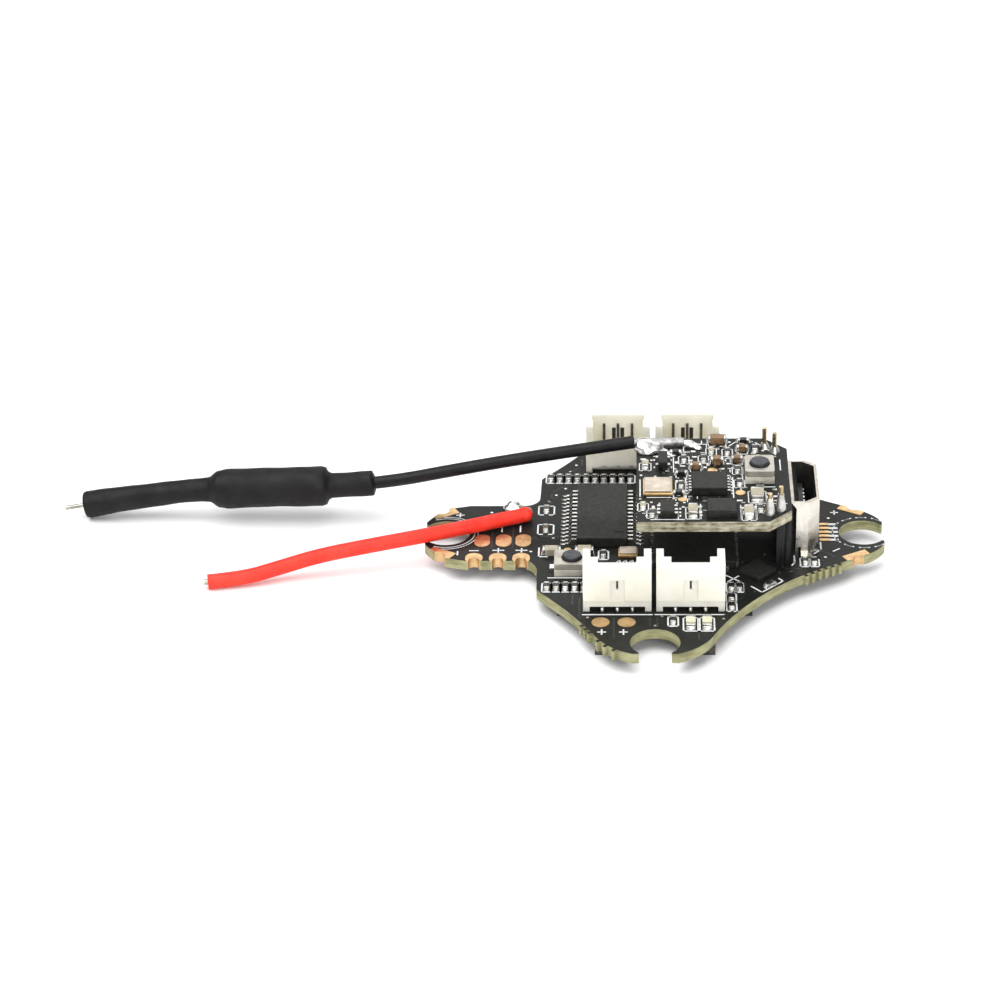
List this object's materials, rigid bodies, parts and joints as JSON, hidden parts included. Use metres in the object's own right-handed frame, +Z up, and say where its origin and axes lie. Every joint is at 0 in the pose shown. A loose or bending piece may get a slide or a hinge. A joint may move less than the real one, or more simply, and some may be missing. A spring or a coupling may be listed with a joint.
{
  "type": "flight controller board",
  "caption": "Small drone flight controller board with motor connectors, a video transmitter board stacked on top, an aerial lead and a red wire.",
  "frame": {"origin": "middle of the main board, on the plane the parts under the board stand on", "axes": "+X to the side with the USB socket and the video board, +Y to the back, +Z up; the aerial lead leaves towards -X"},
  "size_m": [0.0723, 0.0396, 0.0096],
  "materials": {
    "solder_mask": "satin",
    "gold_plate": "satin",
    "chip_resin": "matt",
    "solder_tin": "satin",
    "dark_ceramic": "satin",
    "brown_ceramic": "matt",
    "pale_ceramic": "matt",
    "led_resin": "gloss",
    "nickel_lid": "satin",
    "cream_nylon": "matt",
    "steel": "satin",
    "button_plastic": "matt",
    "connector_nylon": "matt",
    "brass_pin": "satin",
    "black_plastic": "matt",
    "black_jacket": "satin",
    "white_dielectric": "satin",
    "tinned_wire": "satin",
    "red_silicone": "satin"
  },
  "bodies": {
    "board": {"aerial_coax": "black_jacket", "aerial_core": "white_dielectric", "aerial_sleeve": "black_jacket", "aerial_solder": "solder_tin", "aerial_tip": "tinned_wire", "board_pads": "gold_plate", "boot_switch_base": "cream_nylon", "boot_switch_cover": "steel", "boot_switch_dome": "steel", "capacitor_bodies": "brown_ceramic", "capacitor_ends": "solder_tin", "crystal_lids": "nickel_lid", "crystal_trays": "pale_ceramic", "gyro_chip": "chip_resin", "led_ends": "solder_tin", "led_lenses": "led_resin", "main_board": "solder_mask", "mcu_chip": "chip_resin", "mcu_leads": "solder_tin", "motor_connector_front_left": "connector_nylon", "motor_connector_front_right": "connector_nylon", "motor_connector_rear_left": "connector_nylon", "motor_connector_rear_right": "connector_nylon", "motor_pins_front_left": "brass_pin", "motor_pins_front_right": "brass_pin", "motor_pins_rear_left": "brass_pin", "motor_pins_rear_right": "brass_pin", "osd_chip": "chip_resin", "osd_leads": "solder_tin", "post_solder": "solder_tin", "power_capacitor_bodies": "brown_ceramic", "power_capacitor_ends": "solder_tin", "power_pads": "gold_plate", "power_transistors": "chip_resin", "power_wire": "red_silicone", "power_wire_hook": "tinned_wire", "power_wire_solder": "solder_tin", "power_wire_tip": "tinned_wire", "resistor_bodies": "dark_ceramic", "resistor_ends": "solder_tin", "rf_amplifier": "chip_resin", "signal_posts": "brass_pin", "small_chip_leads": "solder_tin", "small_chips": "chip_resin", "speed_controller_chips": "chip_resin", "stack_header": "black_plastic", "stack_header_pins": "brass_pin", "switch_tabs": "solder_tin", "usb_contacts": "brass_pin", "usb_insulator": "black_plastic", "usb_shell": "steel", "video_board": "solder_mask", "video_chip": "chip_resin", "video_chip_leads": "solder_tin", "video_switch_base": "cream_nylon", "video_switch_cover": "steel", "video_switch_dome": "steel", "video_test_pads": "gold_plate"},
    "boot_button": {"boot_button": "button_plastic"},
    "video_button": {"video_button": "button_plastic"}
  },
  "joints": [
    {"name": "boot_button_press", "type": "slide", "parent": "board", "child": "boot_button", "axis": [0, 0, -1], "range_m": [0, 0.00015], "stiffness_N_per_m": 400},
    {"name": "video_button_press", "type": "slide", "parent": "board", "child": "video_button", "axis": [0, 0, -1], "range_m": [0, 0.00015], "stiffness_N_per_m": 400}
  ]
}
